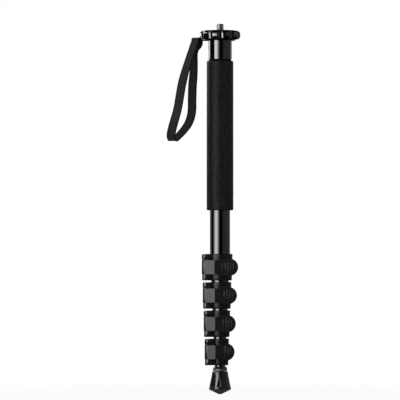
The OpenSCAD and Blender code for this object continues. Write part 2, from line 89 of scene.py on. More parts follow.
class Wire:  # a shader socket that takes part in sums
    def __init__(self, tree, socket=None):
        self.tree = tree
        self.socket = socket

    def add(self, kind, settings=None, inputs=None, out=0):
        node = self.tree.nodes.new(kind)
        for key, value in (settings or {}).items():
            if key == "stops":
                while len(node.color_ramp.elements) < len(value):
                    node.color_ramp.elements.new(0.5)
                for stop, (at, shade) in zip(node.color_ramp.elements, value):
                    stop.position = at
                    stop.color = (shade, shade, shade, 1)
            else:
                setattr(node, key, value)
        for key, value in (inputs or {}).items():
            if isinstance(value, Wire):
                self.tree.links.new(value.socket, node.inputs[key])
            else:
                node.inputs[key].default_value = value
        return Wire(self.tree, node.outputs[out])

    def beside(self, out):  # another output of the same node
        return Wire(self.tree, self.socket.node.outputs[out])

    def maths(self, how, a, b=0.0):
        return self.add("ShaderNodeMath", {"operation": how}, {0: a, 1: b})

    def __add__(self, other):
        return self.maths("ADD", self, other)

    def __radd__(self, other):
        return self.maths("ADD", other, self)

    def __sub__(self, other):
        return self.maths("SUBTRACT", self, other)

    def __rsub__(self, other):
        return self.maths("SUBTRACT", other, self)

    def __mul__(self, other):
        return self.maths("MULTIPLY", self, other)

    def __rmul__(self, other):
        return self.maths("MULTIPLY", other, self)

    def __truediv__(self, other):
        return self.maths("DIVIDE", self, other)

    def __rtruediv__(self, other):
        return self.maths("DIVIDE", other, self)


def newLook(name, fixed):
    look = bpy.data.materials.new(name)
    look.use_nodes = True
    shader = look.node_tree.nodes["Principled BSDF"]
    for key, value in fixed.items():
        shader.inputs[key].default_value = value
    return look, Wire(look.node_tree)


def feed(look, varying):
    shader = look.node_tree.nodes["Principled BSDF"]
    for key, wire in varying.items():
        look.node_tree.links.new(wire.socket, shader.inputs[key])
    return look


def objectPlace(start):
    return start.add("ShaderNodeTexCoord", out="Object")


def stretched(start, place, scale):
    return start.add("ShaderNodeVectorMath", {"operation": "MULTIPLY"}, {0: place, 1: scale})


def lengthOf(start, offset):
    return start.add("ShaderNodeVectorMath", {"operation": "LENGTH"}, {0: offset}, out="Value")


def speckle(start, place, size, detail=2.0, rough=0.5):  # soft noise, size in metres
    inputs = {"Vector": place, "Scale": 1 / size, "Detail": detail, "Roughness": rough}
    return start.add("ShaderNodeTexNoise", None, inputs)


def cells(start, place, size):
    return start.add("ShaderNodeTexVoronoi", None, {"Vector": place, "Scale": 1 / size})


def ramp(start, value, stops):
    return start.add("ShaderNodeValToRGB", {"stops": stops}, {"Fac": value})


def tint(start, value, colours):  # from the dark colour to the pale one
    inputs = {0: value, 6: (*colours["dark"], 1), 7: (*colours["pale"], 1)}
    return start.add("ShaderNodeMix", {"data_type": "RGBA"}, inputs, out=2)


def bump(start, height, relief):
    strength, depth = relief
    return start.add("ShaderNodeBump", None, {"Height": height, "Strength": strength, "Distance": depth})


# In the looks' dictionaries a mark's plain name is its size in metres, its Tone is how far it moves the
# colour from dark to pale, and its Dull is how far it changes the roughness. Relief is the bump's strength
# and depth.

glossPaint = {
    "dark": (0.0012, 0.0013, 0.0014),
    "pale": (0.0030, 0.0032, 0.0032),
    "index": 1.8,
    "rough": 0.075,
    "line": 0.00035,  # lines that drawing the tube leaves along it
    "lineStretch": (1, 1, 0.012),
    "lineDull": 0.04,
    "hand": 0.018,  # marks of handling
    "handDull": 0.05,
    "dust": 0.0007,
    "dustStops": [(0.66, 0.0), (0.74, 1.0)],
    "dustDull": 0.04,
    "relief": (0.05, 0.00004),
}


def glossLook():
    look, start = newLook("blackGloss", {"IOR": glossPaint["index"]})
    place = objectPlace(start)
    lines = speckle(start, stretched(start, place, glossPaint["lineStretch"]), glossPaint["line"], 3, 0.6)
    hands = speckle(start, place, glossPaint["hand"], 4, 0.62)
    dust = ramp(start, speckle(start, place, glossPaint["dust"], 1), glossPaint["dustStops"])
    rough = glossPaint["rough"] + glossPaint["lineDull"] * (lines - 0.5)
    rough = rough + glossPaint["handDull"] * (hands - 0.46) + glossPaint["dustDull"] * dust
    return feed(look, {
        "Base Color": tint(start, hands * 0.7 + dust * 0.3, glossPaint),
        "Roughness": rough,
        "Normal": bump(start, lines * 0.6 + hands * 0.4, glossPaint["relief"]),
    })


lockPlastic = {
    "dark": (0.0034, 0.0037, 0.0035),
    "pale": (0.0070, 0.0074, 0.0071),
    "index": 1.5,
    "grain": 0.00028,
    "grainDull": 0.10,
    "pit": 0.00055,
    "flow": 0.012,  # streaks of the moulding
    "flowStretch": (1, 1, 0.35),
    "flowDull": 0.12,
    "relief": (0.16, 0.00006),
}


def lockLook(name, rough, shine):
    look, start = newLook(name, {"IOR": lockPlastic["index"], "Specular IOR Level": shine})
    place = objectPlace(start)
    grain = speckle(start, place, lockPlastic["grain"], 2, 0.6)
    pits = cells(start, place, lockPlastic["pit"])
    flow = speckle(start, stretched(start, place, lockPlastic["flowStretch"]), lockPlastic["flow"], 3)
    marks = lockPlastic["grainDull"] * (grain - 0.5) + lockPlastic["flowDull"] * (flow - 0.5)
    return feed(look, {
        "Base Color": tint(start, flow * 0.6 + grain * 0.4, lockPlastic),
        "Roughness": rough + marks,
        "Normal": bump(start, grain * 0.5 + pits * 0.5, lockPlastic["relief"]),
    })


innerPlastic = {
    "dark": (0.020, 0.021, 0.022),
    "pale": (0.040, 0.041, 0.042),
    "index": 1.5,
    "rough": 0.5,
    "rub": 0.0008,  # where the tubes slide
    "rubStretch": (1, 1, 0.05),
    "rubDull": 0.16,
    "flow": 0.009,
    "relief": (0.08, 0.00004),
}


def innerLook():
    look, start = newLook("innerPlastic", {"IOR": innerPlastic["index"]})
    place = objectPlace(start)
    rub = speckle(start, stretched(start, place, innerPlastic["rubStretch"]), innerPlastic["rub"], 3)
    flow = speckle(start, place, innerPlastic["flow"], 3)
    return feed(look, {
        "Base Color": tint(start, rub * 0.5 + flow * 0.5, innerPlastic),
        "Roughness": innerPlastic["rough"] + innerPlastic["rubDull"] * (rub - 0.5),
        "Normal": bump(start, rub, innerPlastic["relief"]),
    })


foam = {
    "dark": (0.0058, 0.0063, 0.0058),
    "pale": (0.0136, 0.0148, 0.0138),
    "index": 1.45,
    "shine": 0.060,
    "rough": 0.28,
    "tone": -0.06,
    "pore": 0.00075,
    "poreStops": [(0.08, 0.0), (0.46, 1.0)],
    "poreTone": 0.40,
    "fine": 0.00042,
    "fineTone": 0.30,
    "fineDull": 0.10,
    "mottle": 0.0030,  # patches of denser foam
    "mottleTone": 3.2,
    "blotch": 0.022,
    "blotchTone": 0.42,
    "relief": (0.55, 0.00022),
}


def foamLook():
    look, start = newLook("foam", {"IOR": foam["index"], "Specular IOR Level": foam["shine"]})
    place = objectPlace(start)
    pores = ramp(start, cells(start, place, foam["pore"]), foam["poreStops"])
    fine = speckle(start, place, foam["fine"], 3, 0.65)
    mottle = speckle(start, place, foam["mottle"], 2, 0.6)
    blotch = speckle(start, place, foam["blotch"], 4, 0.6)
    tone = foam["tone"] + foam["poreTone"] * pores + foam["fineTone"] * fine
    tone = tone + foam["blotchTone"] * blotch + foam["mottleTone"] * (mottle - 0.5)
    return feed(look, {
        "Base Color": tint(start, tone, foam),
        "Roughness": foam["rough"] + foam["fineDull"] * (fine - 0.5),
        "Normal": bump(start, pores * 0.55 + fine * 0.45, foam["relief"]),
    })


strapHalf = 0.00525  # half the webbing's width

webbing = {
    "dark": (0.0050, 0.0052, 0.0051),
    "pale": (0.0350, 0.0366, 0.0360),
    "index": 1.5,
    "shine": 0.15,
    "rough": 0.80,
    "tone": -0.20,
    "warp": 0.00062,  # pitch of the yarns that run along the strap
    "weft": 0.00110,
    "weaveTone": 0.55,
    "fuzz": 0.00032,
    "fuzzTone": 0.35,
    "fuzzDull": 0.15,
    "worn": 0.012,
    "wornTone": 0.35,
    "edgeShade": [(0.68, 0.0), (0.88, 0.8)],  # painted shade along both edges, where the webbing's thickness turns from the light: share of the half width, darkness
    "paintedShadow": (-0.0270, 0.0242, -0.0220),  # painted shadow: the loop is darkened where it turns in behind the wheel, in the shade of the wheel and the front leg
    "paintedShadowDrawn": (1, 1, 0.55),  # the painted shadow is drawn out down the back leg
    "paintedShadowSize": 0.02,
    "shadowDarkness": [(0.25, 0.75), (0.50, 0.0)],  # share of the painted shadow's size, darkness
    "relief": (0.6, 0.00022),
}


def webbingLook():
    look, start = newLook("webbing", {"IOR": webbing["index"], "Specular IOR Level": webbing["shine"]})
    run = start.add("ShaderNodeSeparateXYZ", None, {0: start.add("ShaderNodeTexCoord", out="UV")})
    side = run.beside(1)
    place = objectPlace(start)
    fuzz = speckle(start, place, webbing["fuzz"], 3, 0.7)
    worn = speckle(start, place, webbing["worn"], 3)
    yarn = start.maths("ABSOLUTE", start.maths("SINE", side * (math.pi / webbing["warp"])))
    step = start.maths("PINGPONG", side / webbing["warp"] * 0.5, 2.0)  # the yarns step back and forth
    pick = start.maths("ABSOLUTE", start.maths("SINE", (run / webbing["weft"] + step * 0.5) * math.pi))
    height = yarn * 0.45 + pick * 0.55
    # painted shade, darker towards the webbing's edges
    edgeShade = ramp(start, start.maths("ABSOLUTE", side) / strapHalf, webbing["edgeShade"])
    # painted shadow behind the wheel and down the back leg
    offset = start.add("ShaderNodeVectorMath", {"operation": "SUBTRACT"}, {0: place, 1: webbing["paintedShadow"]})
    paintedShadow = lengthOf(start, stretched(start, offset, webbing["paintedShadowDrawn"]))
    shadowDarkness = ramp(start, paintedShadow / webbing["paintedShadowSize"], webbing["shadowDarkness"])
    tone = webbing["tone"] + webbing["weaveTone"] * height + webbing["fuzzTone"] * fuzz
    # the webbing's own wear, less the painted edge shade and the painted shadow
    tone = tone + webbing["wornTone"] * worn - edgeShade - shadowDarkness
    return feed(look, {
        "Base Color": tint(start, tone, webbing),
        "Roughness": webbing["rough"] + webbing["fuzzDull"] * (fuzz - 0.5),
        "Normal": bump(start, height * 0.8 + fuzz * 0.2, webbing["relief"]),
    })


threadYarn = {
    "dark": (0.010, 0.010, 0.010),
    "pale": (0.040, 0.041, 0.040),
    "index": 1.5,
    "rough": 0.62,
    "twist": 0.00018,
    "twistDull": 0.2,
    "relief": (0.4, 0.00008),
}


def yarnLook():
    look, start = newLook("stitchYarn", {"IOR": threadYarn["index"]})
    twist = speckle(start, objectPlace(start), threadYarn["twist"], 2)
    return feed(look, {
        "Base Color": tint(start, twist, threadYarn),
        "Roughness": threadYarn["rough"] + threadYarn["twistDull"] * (twist - 0.5),
        "Normal": bump(start, twist, threadYarn["relief"]),
    })


steel = {
    "dark": (0.42, 0.415, 0.395),
    "pale": (0.60, 0.595, 0.57),
    "rough": 0.36,
    "turned": 0.00022,  # marks of the lathe
    "turnedStretch": (0.03, 0.03, 1),
    "turnedDull": 0.14,
    "stain": 0.004,
    "stainDull": 0.10,
    "relief": (0.10, 0.00003),
}


def steelLook():
    look, start = newLook("brightSteel", {"Metallic": 1.0})
    place = objectPlace(start)
    turned = speckle(start, stretched(start, place, steel["turnedStretch"]), steel["turned"], 3, 0.6)
    stain = speckle(start, place, steel["stain"], 4, 0.6)
    marks = steel["turnedDull"] * (turned - 0.5) + steel["stainDull"] * (stain - 0.5)
    return feed(look, {
        "Base Color": tint(start, stain * 0.6 + turned * 0.4, steel),
        "Roughness": steel["rough"] + marks,
        "Normal": bump(start, turned, steel["relief"]),
    })


ringMetal = {
    "dark": (0.18, 0.18, 0.18),
    "pale": (0.28, 0.28, 0.275),
    "rough": 0.58,
    "turned": 0.00018,
    "turnedStretch": (0.02, 0.02, 1),
    "turnedDull": 0.16,
    "stain": 0.005,
    "relief": (0.14, 0.00003),
}


def ringLook():
    look, start = newLook("brightRing", {"Metallic": 1.0})
    place = objectPlace(start)
    turned = speckle(start, stretched(start, place, ringMetal["turnedStretch"]), ringMetal["turned"], 3, 0.6)
    stain = speckle(start, place, ringMetal["stain"], 3)
    return feed(look, {
        "Base Color": tint(start, stain * 0.5 + turned * 0.5, ringMetal),
        "Roughness": ringMetal["rough"] + ringMetal["turnedDull"] * (turned - 0.5),
        "Normal": bump(start, turned, ringMetal["relief"]),
    })


footRubber = {
    "dark": (0.0030, 0.0032, 0.0031),
    "pale": (0.0075, 0.0079, 0.0077),
    "rough": 0.15,
    "shine": 0.5,
}
trimRubber = {
    "dark": (0.0012, 0.0013, 0.0012),
    "pale": (0.0034, 0.0036, 0.0034),
    "rough": 0.50,
    "shine": 0.05,
}
# painted light: a paler, rougher copy of the foot's rubber for the hollows' floors and right walls, which
# face the light
litHollowRubber = {
    "dark": (0.030, 0.031, 0.030),
    "pale": (0.056, 0.058, 0.056),
    "rough": 0.42,
    "shine": 0.5,
}
rubberSkin = {
    "index": 1.52,
    "skin": 0.0005,
    "skinDull": 0.06,
    "bloom": 0.007,
    "bloomDull": 0.16,
    "relief": (0.10, 0.00006),
}


def rubberLook(name, rubber):
    look, start = newLook(name, {"IOR": rubberSkin["index"], "Specular IOR Level": rubber["shine"]})
    place = objectPlace(start)
    skin = speckle(start, place, rubberSkin["skin"], 3, 0.6)
    bloom = speckle(start, place, rubberSkin["bloom"], 4, 0.62)
    marks = rubberSkin["bloomDull"] * (bloom - 0.48) + rubberSkin["skinDull"] * (skin - 0.5)
    return feed(look, {
        "Base Color": tint(start, bloom * 0.7 + skin * 0.3, rubber),
        "Roughness": rubber["rough"] + marks,
        "Normal": bump(start, skin * 0.5 + bloom * 0.5, rubberSkin["relief"]),
    })


seatRubber = {
    "dark": (0.010, 0.0105, 0.010),
    "pale": (0.026, 0.027, 0.026),
    "index": 1.5,
    "rough": 0.78,
    "crumb": 0.0007,
    "fine": 0.0004,
    "fineDull": 0.16,
    "relief": (0.35, 0.00012),
}


def seatLook():
    look, start = newLook("seatRubber", {"IOR": seatRubber["index"]})
    place = objectPlace(start)
    crumb = cells(start, place, seatRubber["crumb"])
    fine = speckle(start, place, seatRubber["fine"], 3, 0.65)
    return feed(look, {
        "Base Color": tint(start, crumb * 0.5 + fine * 0.5, seatRubber),
        "Roughness": seatRubber["rough"] + seatRubber["fineDull"] * (fine - 0.5),
        "Normal": bump(start, crumb * 0.6 + fine * 0.4, seatRubber["relief"]),
    })


looks = {
    "gloss": glossLook(),
    "lever": lockLook("leverPlastic", rough=0.31, shine=0.48),
    "collar": lockLook("collarPlastic", rough=0.31, shine=0.28),
    "satin": lockLook("satinBlack", rough=0.27, shine=0.50),
    "ear": lockLook("earPlastic", rough=0.20, shine=0.62),
    "inner": innerLook(),
    "foam": foamLook(),
    "webbing": webbingLook(),
    "yarn": yarnLook(),
    "steel": steelLook(),
    "ring": ringLook(),
    "rubber": rubberLook("blackRubber", footRubber),
    "trim": rubberLook("trimRubber", trimRubber),
    "hollow": rubberLook("litHollowRubber", litHollowRubber),
    "seat": seatLook(),
}
print("looks made:", len(looks))


def makePiece(name, points, faces, body, look, sharp):  # edges past the sharp angle stay crisp
    data = bpy.data.meshes.new(name)
    data.from_pydata([tuple(p) for p in points], [], faces)
    data.update()
    data.shade_smooth()
    data.set_sharp_from_angle(angle=math.radians(sharp))
    data.materials.append(looks[look])
    piece = bpy.data.objects.new(name, data)
    scene.collection.objects.link(piece)
    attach(piece, body)
    return piece


def ringPoints(radius, height, around):  # a ring about the pole's axis
    turns = [2 * math.pi * i / around for i in range(around)]
    return [(radius * math.cos(t), radius * math.sin(t), height) for t in turns]


def ringFaces(rings, around, closed=False):  # quads between rings of points, one ring after another
    faces = []
    for i in range(rings if closed else rings - 1):
        here, there = i * around, (i + 1) % rings * around
        for j in range(around):
            after = (j + 1) % around
            faces.append((here + j, here + after, there + after, there + j))
    return faces


def cappedFaces(rings, around):
    last = (rings - 1) * around
    return ringFaces(rings, around) + [tuple(reversed(range(around))), tuple(range(last, last + around))]


def shifted(faces, base):
    return [tuple(base + v for v in face) for face in faces]


studForm = {
    "major": 0.0047625,  # a 3/8 inch thread, 16 to the inch
    "pitch": 0.0015875,
    "depth": 0.00078,
    "crest": 0.20,  # share of the pitch that is flat at the crest
    "flank": 0.68,
    "chamfer": 0.0009,
    "turnSteps": 14,
    "around": 72,
    "under": [  # heights and radii of shank, collar and neck, below the thread
        (-0.0224, 0.0035), (-0.0044, 0.0035), (-0.0042, 0.0036), (-0.0042, 0.0069), (-0.0040, 0.0070),
        (-0.0014, 0.0070), (-0.00122, 0.0068), (-0.00122, 0.0043), (-0.0002, 0.0040),
    ],
    "dimple": [(0.0, 0.0022), (0.0002, 0.0019), (0.0005, 0.0004)],  # depths and radii in the top
}


def threadRadius(z, angle, top):
    turn = (z / studForm["pitch"] - angle / (2 * math.pi)) % 1.0
    flank = min(max((abs(turn - 0.5) * 2 - studForm["crest"]) / studForm["flank"], 0.0), 1.0)
    radius = studForm["major"] - studForm["depth"] * flank
    return min(radius, studForm["major"] - studForm["chamfer"] + max(0.0, top - z))


def makeStud():
    around, top = studForm["around"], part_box("camera_stud")[1].z
    points = []
    for z, r in studForm["under"]:
        points += ringPoints(r, z, around)
    steps = int(top / studForm["pitch"] * studForm["turnSteps"])
    for k in range(steps + 1):
        z = top * k / steps
        for i in range(around):
            angle = 2 * math.pi * i / around
            r = threadRadius(z, angle, top)
            points.append((r * math.cos(angle), r * math.sin(angle), z))
    for depth, r in studForm["dimple"]:
        points += ringPoints(r, top - depth, around)
    faces = cappedFaces(len(points) // around, around)
    stud = makePiece("threadedStud", points, faces, "wheel", "steel", sharp=50)
    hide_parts("camera_stud")


makeStud()

seatForm = {
    "inner": 0.00506,  # clear of the stud
    "innerEdge": 0.00012,
    "outerEdge": 0.00025,
    "margin": 0.0012,  # plain rim beside the grooves
    "rings": 5,
    "groove": 0.00022,
    "grooveTop": 0.00045,  # half widths of a groove
    "grooveLow": 0.0002,
    "around": 128,
}


def makeSeat():  # the seat's rubber disc, with shallow rings moulded in its top
    low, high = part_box("top_pad")
    inner, outer = seatForm["inner"], high.x
    soft, edge, deep = seatForm["innerEdge"], seatForm["outerEdge"], -seatForm["groove"]
    wide, thin = seatForm["grooveTop"], seatForm["grooveLow"]
    profile = [(inner, low.z), (inner, -soft), (inner + soft, 0)]
    first, last = inner + seatForm["margin"], outer - seatForm["margin"]
    for k in range(seatForm["rings"]):
        at = first + (last - first) * (k + 0.5) / seatForm["rings"]
        profile += [(at - wide, 0), (at - thin, deep), (at + thin, deep), (at + wide, 0)]
    profile += [(outer - edge, 0), (outer, -edge), (outer, low.z)]
    around = seatForm["around"]
    points = [p for r, z in profile for p in ringPoints(r, z, around)]
    faces = [tuple(reversed(face)) for face in ringFaces(len(profile), around, True)]
    seat = makePiece("seatDisc", points, faces, "wheel", "seat", sharp=50)
    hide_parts("top_pad")


makeSeat()
print("stud and seat made")

gripForm = {
    "around": 112,
    "step": 0.0016,
    "round": 0.0017,
    "roundSteps": 6,
    "flat": 0.0008,  # of the ends, beside their round edges
    "mouth": (0.0004, 0.0003),  # width and height of the bore's bevel
    "gap": 0.00003,  # to the tube
    "swell": 0.00027,  # past the solid's outside
    "uneven": 0.00007,
    "dents": (3, 3, 160),  # how close the dents lie, round the grip and along it
    "fineDents": 3.1,  # times as close
    "evenBore": 0.001,  # no dents this near the bore
}


def gripProfile(inner, outer, low, high):
    soft, flat, turns = gripForm["round"], gripForm["flat"], gripForm["roundSteps"]
    wide, tall = gripForm["mouth"]
    arc = [math.pi / 2 * k / turns for k in range(turns + 1)]
    straight = high - low - 2 * soft
    count = int(straight / gripForm["step"])
    profile = [(inner, low + tall), (inner + wide, low), (outer - soft - flat, low)]
    profile += [(outer - soft + soft * math.sin(t), low + soft - soft * math.cos(t)) for t in arc]
    profile += [(outer, low + soft + straight * k / count) for k in range(1, count)]
    profile += [(outer - soft + soft * math.cos(t), high - soft + soft * math.sin(t)) for t in arc]
    return profile + [(outer - soft - flat, high), (inner + wide, high), (inner, high - tall)]


def gripDent(angle, z):  # foam is never quite even, and most dents go inwards
    across, deep, along = gripForm["dents"]
    at = Vector((math.cos(angle) * across, math.sin(angle) * deep, z * along))
    return gripForm["uneven"] * (noise.noise(at) + 0.5 * noise.noise(at * gripForm["fineDents"]) - 0.75)


def makeGrip():
    low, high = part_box("foam_grip")
    outer = (high.x - low.x) / 2 + gripForm["swell"]
    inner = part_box("tube_1")[1].x + gripForm["gap"]
    profile = gripProfile(inner, outer, low.z, high.z)
    around = gripForm["around"]
    points = []
    for r, z in profile:
        for i in range(around):
            angle = 2 * math.pi * i / around
            far = r + gripDent(angle, z) if r > inner + gripForm["evenBore"] else r
            points.append((far * math.cos(angle), far * math.sin(angle), z))
    faces = ringFaces(len(profile), around, True)
    grip = makePiece("gripFoam", points, faces, "upper", "foam", sharp=60)
    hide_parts("foam_grip")


makeGrip()
print("grip made")

strapForm = {
    "width": 2 * strapHalf,
    "thick": 0.0014,
    "plump": 0.80,  # share of the thickness in the middle of the webbing
    "edgePlump": 0.10,  # more than that towards the edges
    "edgeFrom": 0.72,  # share of the half width
    "edgeRound": 0.10,
    "halfPoints": 10,
    "fuzz": 0.0003,  # loose yarn past the core at either edge, none at the bar
    "fuzzFrom": 0.045,  # how far below the bar it is all there
    "bar": (-0.029661, 0.017125, -0.0111),  # middle of the bar
    "turn": 30,  # the bar's turn from the left towards the back, in degrees
    "turnFrom": 0.027,  # how far below the bar the webbing starts to turn to the front
    "turnOver": 0.040,  # the drop in which it would face the front
    "turnLeast": 0.35,  # share of the bar's turn that it keeps
    "steps": 8,
    "opening": 2,  # steps left out at the bar, when the strap's free length is measured
    "lap": (-0.0732, -0.0492),  # heights between which the loop's ends lie double
    "hand": [  # centre line from the bar, in millimetres: front leg, turn, back leg
        (0, 0, 2.2), (-0.778, -1.347, 1.556), (-1.1, -1.905, 0), (-1.9, -2.3, -2.7), (-3.2, -2.7, -5.9),
        (-5.2, -3.2, -12.2), (-10.3, -5.4, -27.5), (-14.6, -9, -42.5), (-18.2, -13, -57.5),
        (-20.7, -16, -72.5), (-23.5, -17.5, -88), (-27.4, -16.5, -102), (-30.1, -13, -112),
        (-31.7, -7.6, -121), (-29.2, 0, -126.4), (-22.6, 6, -120.8), (-15.6, 11.2, -113),
        (-9.4, 15.4, -103.6), (-5.7, 17.5, -90.5), (-5.2, 16.4, -73), (-4.7, 13.6, -57.5),
        (-3.5, 10.2, -42.5), (-2.8, 7.6, -28), (-2.8, 6.9, -18.6), (-1.3, 7.3, -12.4), (2.2, 7.3, -7.6),
        (3.7, 6.409, -3.4), (2.65, 4.590, 0.4), (1.25, 2.165, 1.95),
    ],
}


def strapLine():  # a smooth closed curve through the listed points
    hand = [Vector(p) * 0.001 for p in strapForm["hand"]]  # in metres
    line = []
    for i in range(len(hand)):
        a, b, c, d = (hand[(i + k) % len(hand)] for k in (-1, 0, 1, 2))
        for s in range(strapForm["steps"]):
            t = s / strapForm["steps"]
            bend, twist = 2 * a - 5 * b + 4 * c - d, 3 * b - a - 3 * c + d
            p = b + t * (c - a) / 2 + t * t * bend / 2 + t ** 3 * twist / 2
            line.append(p + Vector(strapForm["bar"]))
    return line


def strapFrames(line):  # place, width and face of the webbing at each point
    frames = []
    for i, p in enumerate(line):
        along = (line[(i + 1) % len(line)] - line[i - 1]).normalized()
        share = 1 + (p.z - strapForm["bar"][2] + strapForm["turnFrom"]) / strapForm["turnOver"]
        share = max(strapForm["turnLeast"], min(1.0, share))
        turn = math.radians(strapForm["turn"]) * share  # along the bar at the top, to the front lower down
        side = Vector((math.cos(turn), -math.sin(turn), 0))
        across = (side - side.dot(along) * along).normalized()
        frames.append((p, across, along.cross(across)))
    return frames


def strapSection(plump):  # across the webbing, with plump woven edges
    half, thin = strapForm["width"] / 2, strapForm["thick"] / 2
    count, rounded = strapForm["halfPoints"], strapForm["edgeRound"]
    section = []
    for side in (-1, 1):
        for k in range(-count, count):
            t = -side * k / count
            edge = math.sqrt(max(0.0, 1 - max(0.0, (abs(t) - (1 - rounded)) / rounded) ** 2))
            swell = plump + strapForm["edgePlump"] * (abs(t) > strapForm["edgeFrom"])
            section.append((t * half, side * thin * swell * edge))
    return section


def weave(piece, runs, section):  # the weave follows the webbing's length
    around = len(section)
    uv = piece.data.uv_layers.new(name="weave")
    for face in piece.data.polygons[:(len(runs) - 1) * around]:
        ring, spot = divmod(face.index, around)
        corners = ((ring, spot), (ring, spot + 1), (ring + 1, spot + 1), (ring + 1, spot))
        for corner, (r, j) in zip(face.loop_indices, corners):
            uv.data[corner].uv = (runs[r], section[j % around][0])


def looseYarn(p):
    share = max(0.0, min(1.0, (strapForm["bar"][2] - p.z) / strapForm["fuzzFrom"]))
    return 1 + 2 * strapForm["fuzz"] / strapForm["width"] * share


def makeStrap():
    line = strapLine()
    frames = strapFrames(line)
    section = strapSection(strapForm["plump"])
    points = [p + across * x * looseYarn(p) + face * y for p, across, face in frames for x, y in section]
    faces = ringFaces(len(line), len(section), True)
    strap = makePiece("wristStrap", points, faces, "strap", "webbing", sharp=70)
    runs = [0.0]
    for i in range(len(line)):
        runs.append(runs[-1] + (line[(i + 1) % len(line)] - line[i]).length)
    weave(strap, runs, section)
    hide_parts("wrist_strap")
    path = line[strapForm["opening"]:]
    length = sum((b - a).length for a, b in zip(path, path[1:]))
    low, high = strapForm["lap"]
    middle = strapForm["bar"][1]
    lapped = [k for k, p in enumerate(line) if p.y > middle and low < p.z < high]  # on the back leg
    makeLap(frames, lapped)
    makeStitches(frames, lapped)
    return length


lapForm = {
    "plump": 0.70,
    "lift": 0.76,  # share of the webbing's thickness
    "width": 0.97,  # share of the webbing's width
}


def inwardFace(face):  # towards the middle of the loop, on its back leg
    return face if face.y < 0 else -face


def makeLap(frames, lapped):  # one end of the webbing lies on the other, inside the loop
    section = strapSection(lapForm["plump"])
    lift = strapForm["thick"] * lapForm["lift"]
    points, runs = [], [0.0]
    for k in lapped:
        p, across, face = frames[k]
        points += [p + inwardFace(face) * lift + across * x * lapForm["width"] + face * y for x, y in section]
        runs.append(runs[-1] + (frames[k + 1][0] - p).length)
    faces = cappedFaces(len(lapped), len(section))
    lap = makePiece("strapLap", points, faces, "strap", "webbing", sharp=70)
    weave(lap, runs[:-1], section)
    return lap


stitchForm = {
    "rows": (-0.36, 0.36),  # shares of the webbing's width
    "ends": (0.14, 0.86),  # shares of a step along the webbing
    "lifts": ((-1, -0.36), (1, 1.22)),  # outer and inner face, in shares of the webbing's thickness
    "arch": ((0.0, 0.0), (0.3, 0.0003), (0.7, 0.0003), (1.0, 0.0)),  # shares of the stitch, rise
    "thread": (0.00026, 0.0002),  # half its width and height
    "around": 6,
}


def stitchPoints(here, end, row, way, lift):
    p, across, face = here
    inward = inwardFace(face)
    first, last = (p.lerp(end, share) for share in stitchForm["ends"])
    wide, tall = stitchForm["thread"]
    points = []
    for share, rise in stitchForm["arch"]:
        lifted = inward * (strapForm["thick"] * lift + way * rise)
        middle = first.lerp(last, share) + across * strapForm["width"] * row + lifted
        for i in range(stitchForm["around"]):
            angle = 2 * math.pi * i / stitchForm["around"]
            points.append(middle + across * wide * math.cos(angle) + face * tall * math.sin(angle))
    return points


def makeStitches(frames, lapped):  # rows of thread along the lap, on both faces
    tube = cappedFaces(len(stitchForm["arch"]), stitchForm["around"])
    points, faces = [], []
    for here, there in zip(lapped, lapped[1:]):
        for row in stitchForm["rows"]:
            for way, lift in stitchForm["lifts"]:
                faces += shifted(tube, len(points))
                points += stitchPoints(frames[here], frames[there][0], row, way, lift)
    return makePiece("strapStitches", points, faces, "strap", "yarn", sharp=60)


strapLength = makeStrap()
print("strap made, free length", round(strapLength, 4))

hingeForm = {
    "ear": 0.0046,  # radius of the collar's ears
    "earMargin": 0.0002,
    "arm": 0.00865,  # half the height of the lever's arm
    "bore": 0.0018,  # clear of the pin
    "wide": 0.0041,  # radius of the shoulders
    "rise": 0.00072,  # of the shoulders, out of the 0.8 mm beside the lever's arm
    "sunk": 0.0004,  # into the arm
    "edge": 0.0002,
    "around": 48,
}


def hingePlace(k):  # the middle of the lock's pin
    low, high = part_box(f"pin_{k}")
    return (low + high) / 2


def makeShoulders(k):  # the lever's moulded shoulders, on which it turns between the collar's ears
    place, around, edge = hingePlace(k), hingeForm["around"], hingeForm["edge"]
    bore, wide = hingeForm["bore"], hingeForm["wide"]
    root, tip = hingeForm["arm"] - hingeForm["sunk"], hingeForm["arm"] + hingeForm["rise"]
    profile = [(bore, root), (wide, root), (wide, tip - edge)]
    profile += [(wide - edge, tip), (bore + edge, tip), (bore, tip - edge)]
    points, faces = [], []
    for way in (1, -1):  # above the arm and below it
        faces += shifted(ringFaces(len(profile), around, True), len(points))
        for r, height in profile:
            points += [place + Vector((x, way * y, way * z)) for x, y, z in ringPoints(r, height, around)]
    makePiece(f"leverShoulders_{k}", points, faces, f"latch_{k}", "lever", sharp=40)


for number in locks:
    makeShoulders(number)
print("lever shoulders made")

finishes = {  # look of each solid, with the radius of its edges in metres
    "gloss": {"mount_wheel": 0.0004, "neck_sleeve": 0.0, "strap_bar": 0.0002, "tube_1": 0.0},
    "satin": {"foot_ferrule": 0.0002},
    "collar": {f"collar_{k}": 0.0003 for k in locks},
    "lever": {f"lever_{k}": 0.0004 for k in locks},
    "inner": {"thrust_washer": 0.0},
    "steel": {"spike": 0.0002, "stud_nut": 0.0002},
    "ring": {"foot_ring": 0.0002},
    "rubber": {"rubber_foot": 0.0004},
    "trim": {"trim_ring": 0.0003},
}
for number in locks:
    finishes["gloss"][f"tube_{number + 1}"] = 0.0
    finishes["inner"].update({f"liner_{number}": 0.0, f"shoe_{number}": 0.0, f"bush_{number + 1}": 0.0})
    finishes["steel"][f"pin_{number}"] = 0.0002

edgeForm = {"weld": 0.00001, "segments": 3, "sharp": 38}


